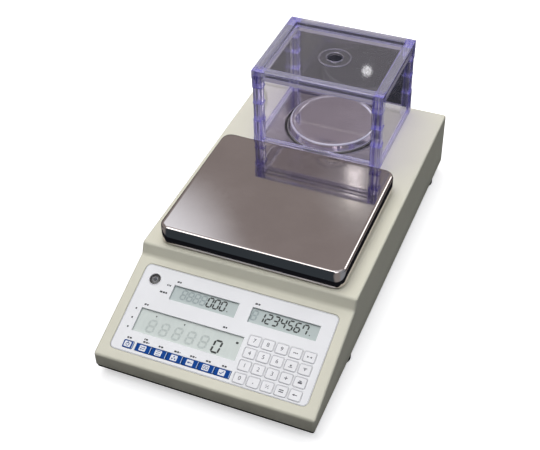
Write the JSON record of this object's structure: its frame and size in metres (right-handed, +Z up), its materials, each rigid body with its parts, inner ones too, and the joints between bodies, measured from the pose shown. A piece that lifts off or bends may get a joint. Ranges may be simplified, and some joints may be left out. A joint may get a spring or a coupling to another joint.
{
  "type": "counting balance",
  "caption": "Bench balance with a sloping key and display panel, a large rectangular steel pan, and a small round pan in a clear draft shield with a lift-off lid.",
  "frame": {"origin": "on the bench, under the middle of the casing's footprint", "axes": "+X to the operator's right, +Y from the key panel towards the back, +Z up"},
  "size_m": [0.21, 0.3964, 0.1594],
  "materials": {
    "ivory_shell": "fine moulded texture, satin",
    "dark_tray": "dark grey paint, satin",
    "overlay_film": "printed polyester film, satin",
    "display_glass": "grey-green liquid crystal glass",
    "blue_key": "printed film, satin",
    "white_key": "printed film, satin",
    "level_glass": "dark glossy vial",
    "polished_steel": "mirror-polished stainless steel",
    "violet_acrylic": "violet-tinted clear acrylic, polished",
    "clear_acrylic": "clear acrylic, polished",
    "cast_alloy": "machined alloy",
    "black_rubber": "matt rubber",
    "black_plastic": "moulded, satin",
    "circuit_board": "green solder mask",
    "zinc_steel": "zinc-plated sheet"
  },
  "bodies": {
    "casing": {"base_tray": "dark_tray", "top_cover": "ivory_shell", "control_panel": "overlay_film", "weight_display": "display_glass", "unit_weight_display": "display_glass", "count_display": "display_glass", "spirit_level": "level_glass", "main_board": "circuit_board", "large_force_cell": "cast_alloy", "small_force_cell": "cast_alloy", "shield_floor_plate": "polished_steel", "rear_plate": "black_plastic", "power_inlet": "black_plastic", "data_port": "zinc_steel"},
    "large_support": {"large_pan_support": "cast_alloy"},
    "small_support": {"small_pan_support": "cast_alloy"},
    "large_pan": {"large_pan": "polished_steel"},
    "small_pan": {"small_pan": "polished_steel"},
    "draft_shield": {"shield_base_frame": "violet_acrylic", "shield_top_frame": "violet_acrylic", "shield_front_panel": "clear_acrylic", "shield_rear_panel": "clear_acrylic", "shield_left_panel": "clear_acrylic", "shield_right_panel": "clear_acrylic"},
    "shield_lid": {"shield_lid": "clear_acrylic"},
    "foot_front_left": {"foot_pad_front_left": "black_rubber"},
    "foot_front_right": {"foot_pad_front_right": "black_rubber"},
    "foot_rear_left": {"foot_pad_rear_left": "black_rubber"},
    "foot_rear_right": {"foot_pad_rear_right": "black_rubber"},
    "foot_wheel_front_left": {"foot_screw_front_left": "black_plastic"},
    "foot_wheel_front_right": {"foot_screw_front_right": "black_plastic"},
    "foot_wheel_rear_left": {"foot_screw_rear_left": "black_plastic"},
    "foot_wheel_rear_right": {"foot_screw_rear_right": "black_plastic"},
    "power_key": {"power_key": "blue_key"},
    "units_key": {"units_key": "blue_key"},
    "limits_key": {"limits_key": "blue_key"},
    "sample_key": {"sample_key": "blue_key"},
    "recall_key": {"recall_key": "blue_key"},
    "section_key": {"section_key": "blue_key"},
    "set_key": {"set_key": "blue_key"},
    "key_0": {"key_0": "white_key"},
    "key_1": {"key_1": "white_key"},
    "key_2": {"key_2": "white_key"},
    "key_3": {"key_3": "white_key"},
    "key_4": {"key_4": "white_key"},
    "key_5": {"key_5": "white_key"},
    "key_6": {"key_6": "white_key"},
    "key_7": {"key_7": "white_key"},
    "key_8": {"key_8": "white_key"},
    "key_9": {"key_9": "white_key"},
    "key_point": {"key_point": "white_key"},
    "key_clear": {"key_clear": "white_key"},
    "key_memory": {"key_memory": "white_key"},
    "key_enter": {"key_enter": "white_key"},
    "key_add": {"key_add": "white_key"},
    "key_print": {"key_print": "white_key"},
    "key_unit_weight": {"key_unit_weight": "white_key"},
    "key_tare": {"key_tare": "white_key"},
    "key_sample": {"key_sample": "white_key"},
    "key_zero": {"key_zero": "white_key"}
  },
  "joints": [
    {"name": "large_weighing", "type": "slide", "parent": "casing", "child": "large_support", "axis": [0, 0, -1], "range_m": [0, 0.0004], "stiffness_N_per_m": 25000, "springref_m": -0.0002},
    {"name": "small_weighing", "type": "slide", "parent": "casing", "child": "small_support", "axis": [0, 0, -1], "range_m": [0, 0.0004], "stiffness_N_per_m": 8000, "springref_m": -0.0002},
    {"name": "large_pan_lift", "type": "slide", "parent": "large_support", "child": "large_pan", "axis": [0, 0, 1], "range_m": [0, 0.06]},
    {"name": "small_pan_lift", "type": "slide", "parent": "small_support", "child": "small_pan", "axis": [0, 0, 1], "range_m": [0, 0.04]},
    {"name": "shield_lift", "type": "slide", "parent": "casing", "child": "draft_shield", "axis": [0, 0, 1], "range_m": [0, 0.1]},
    {"name": "lid_lift", "type": "slide", "parent": "draft_shield", "child": "shield_lid", "axis": [0, 0, 1], "range_m": [0, 0.06]},
    {"name": "foot_travel_front_left", "type": "slide", "parent": "casing", "child": "foot_front_left", "axis": [0, 0, -1], "range_m": [-0.0011, 0.0049]},
    {"name": "foot_travel_front_right", "type": "slide", "parent": "casing", "child": "foot_front_right", "axis": [0, 0, -1], "range_m": [-0.0011, 0.0049]},
    {"name": "foot_travel_rear_left", "type": "slide", "parent": "casing", "child": "foot_rear_left", "axis": [0, 0, -1], "range_m": [-0.0011, 0.0049]},
    {"name": "foot_travel_rear_right", "type": "slide", "parent": "casing", "child": "foot_rear_right", "axis": [0, 0, -1], "range_m": [-0.0011, 0.0049]},
    {"name": "foot_turn_front_left", "type": "hinge", "parent": "foot_front_left", "child": "foot_wheel_front_left", "pos_m": [-0.0943, -0.10025, 0.01], "axis": [0, 0, -1], "range_deg": [-400, 1780]},
    {"name": "foot_turn_front_right", "type": "hinge", "parent": "foot_front_right", "child": "foot_wheel_front_right", "pos_m": [0.0943, -0.10025, 0.01], "axis": [0, 0, -1], "range_deg": [-400, 1780]},
    {"name": "foot_turn_rear_left", "type": "hinge", "parent": "foot_rear_left", "child": "foot_wheel_rear_left", "pos_m": [-0.0943, 0.16825, 0.01], "axis": [0, 0, -1], "range_deg": [-400, 1780]},
    {"name": "foot_turn_rear_right", "type": "hinge", "parent": "foot_rear_right", "child": "foot_wheel_rear_right", "pos_m": [0.0943, 0.16825, 0.01], "axis": [0, 0, -1], "range_deg": [-400, 1780]},
    {"name": "power_key_press", "type": "slide", "parent": "casing", "child": "power_key", "axis": [0, 0.3222, -0.9467], "range_m": [0, 0.0004], "stiffness_N_per_m": 2500},
    {"name": "units_key_press", "type": "slide", "parent": "casing", "child": "units_key", "axis": [0, 0.3222, -0.9467], "range_m": [0, 0.0004], "stiffness_N_per_m": 2500},
    {"name": "limits_key_press", "type": "slide", "parent": "casing", "child": "limits_key", "axis": [0, 0.3222, -0.9467], "range_m": [0, 0.0004], "stiffness_N_per_m": 2500},
    {"name": "sample_key_press", "type": "slide", "parent": "casing", "child": "sample_key", "axis": [0, 0.3222, -0.9467], "range_m": [0, 0.0004], "stiffness_N_per_m": 2500},
    {"name": "recall_key_press", "type": "slide", "parent": "casing", "child": "recall_key", "axis": [0, 0.3222, -0.9467], "range_m": [0, 0.0004], "stiffness_N_per_m": 2500},
    {"name": "section_key_press", "type": "slide", "parent": "casing", "child": "section_key", "axis": [0, 0.3222, -0.9467], "range_m": [0, 0.0004], "stiffness_N_per_m": 2500},
    {"name": "set_key_press", "type": "slide", "parent": "casing", "child": "set_key", "axis": [0, 0.3222, -0.9467], "range_m": [0, 0.0004], "stiffness_N_per_m": 2500},
    {"name": "key_0_press", "type": "slide", "parent": "casing", "child": "key_0", "axis": [0, 0.3222, -0.9467], "range_m": [0, 0.0004], "stiffness_N_per_m": 2500},
    {"name": "key_1_press", "type": "slide", "parent": "casing", "child": "key_1", "axis": [0, 0.3222, -0.9467], "range_m": [0, 0.0004], "stiffness_N_per_m": 2500},
    {"name": "key_2_press", "type": "slide", "parent": "casing", "child": "key_2", "axis": [0, 0.3222, -0.9467], "range_m": [0, 0.0004], "stiffness_N_per_m": 2500},
    {"name": "key_3_press", "type": "slide", "parent": "casing", "child": "key_3", "axis": [0, 0.3222, -0.9467], "range_m": [0, 0.0004], "stiffness_N_per_m": 2500},
    {"name": "key_4_press", "type": "slide", "parent": "casing", "child": "key_4", "axis": [0, 0.3222, -0.9467], "range_m": [0, 0.0004], "stiffness_N_per_m": 2500},
    {"name": "key_5_press", "type": "slide", "parent": "casing", "child": "key_5", "axis": [0, 0.3222, -0.9467], "range_m": [0, 0.0004], "stiffness_N_per_m": 2500},
    {"name": "key_6_press", "type": "slide", "parent": "casing", "child": "key_6", "axis": [0, 0.3222, -0.9467], "range_m": [0, 0.0004], "stiffness_N_per_m": 2500},
    {"name": "key_7_press", "type": "slide", "parent": "casing", "child": "key_7", "axis": [0, 0.3222, -0.9467], "range_m": [0, 0.0004], "stiffness_N_per_m": 2500},
    {"name": "key_8_press", "type": "slide", "parent": "casing", "child": "key_8", "axis": [0, 0.3222, -0.9467], "range_m": [0, 0.0004], "stiffness_N_per_m": 2500},
    {"name": "key_9_press", "type": "slide", "parent": "casing", "child": "key_9", "axis": [0, 0.3222, -0.9467], "range_m": [0, 0.0004], "stiffness_N_per_m": 2500},
    {"name": "key_point_press", "type": "slide", "parent": "casing", "child": "key_point", "axis": [0, 0.3222, -0.9467], "range_m": [0, 0.0004], "stiffness_N_per_m": 2500},
    {"name": "key_clear_press", "type": "slide", "parent": "casing", "child": "key_clear", "axis": [0, 0.3222, -0.9467], "range_m": [0, 0.0004], "stiffness_N_per_m": 2500},
    {"name": "key_memory_press", "type": "slide", "parent": "casing", "child": "key_memory", "axis": [0, 0.3222, -0.9467], "range_m": [0, 0.0004], "stiffness_N_per_m": 2500},
    {"name": "key_enter_press", "type": "slide", "parent": "casing", "child": "key_enter", "axis": [0, 0.3222, -0.9467], "range_m": [0, 0.0004], "stiffness_N_per_m": 2500},
    {"name": "key_add_press", "type": "slide", "parent": "casing", "child": "key_add", "axis": [0, 0.3222, -0.9467], "range_m": [0, 0.0004], "stiffness_N_per_m": 2500},
    {"name": "key_print_press", "type": "slide", "parent": "casing", "child": "key_print", "axis": [0, 0.3222, -0.9467], "range_m": [0, 0.0004], "stiffness_N_per_m": 2500},
    {"name": "key_unit_weight_press", "type": "slide", "parent": "casing", "child": "key_unit_weight", "axis": [0, 0.3222, -0.9467], "range_m": [0, 0.0004], "stiffness_N_per_m": 2500},
    {"name": "key_tare_press", "type": "slide", "parent": "casing", "child": "key_tare", "axis": [0, 0.3222, -0.9467], "range_m": [0, 0.0004], "stiffness_N_per_m": 2500},
    {"name": "key_sample_press", "type": "slide", "parent": "casing", "child": "key_sample", "axis": [0, 0.3222, -0.9467], "range_m": [0, 0.0004], "stiffness_N_per_m": 2500},
    {"name": "key_zero_press", "type": "slide", "parent": "casing", "child": "key_zero", "axis": [0, 0.3222, -0.9467], "range_m": [0, 0.0004], "stiffness_N_per_m": 2500}
  ],
  "couplings": [
    {"joint": "foot_turn_front_left", "follows": "foot_travel_front_left", "rad_per_m": 6283.2},
    {"joint": "foot_turn_front_right", "follows": "foot_travel_front_right", "rad_per_m": 6283.2},
    {"joint": "foot_turn_rear_left", "follows": "foot_travel_rear_left", "rad_per_m": 6283.2},
    {"joint": "foot_turn_rear_right", "follows": "foot_travel_rear_right", "rad_per_m": 6283.2}
  ]
}
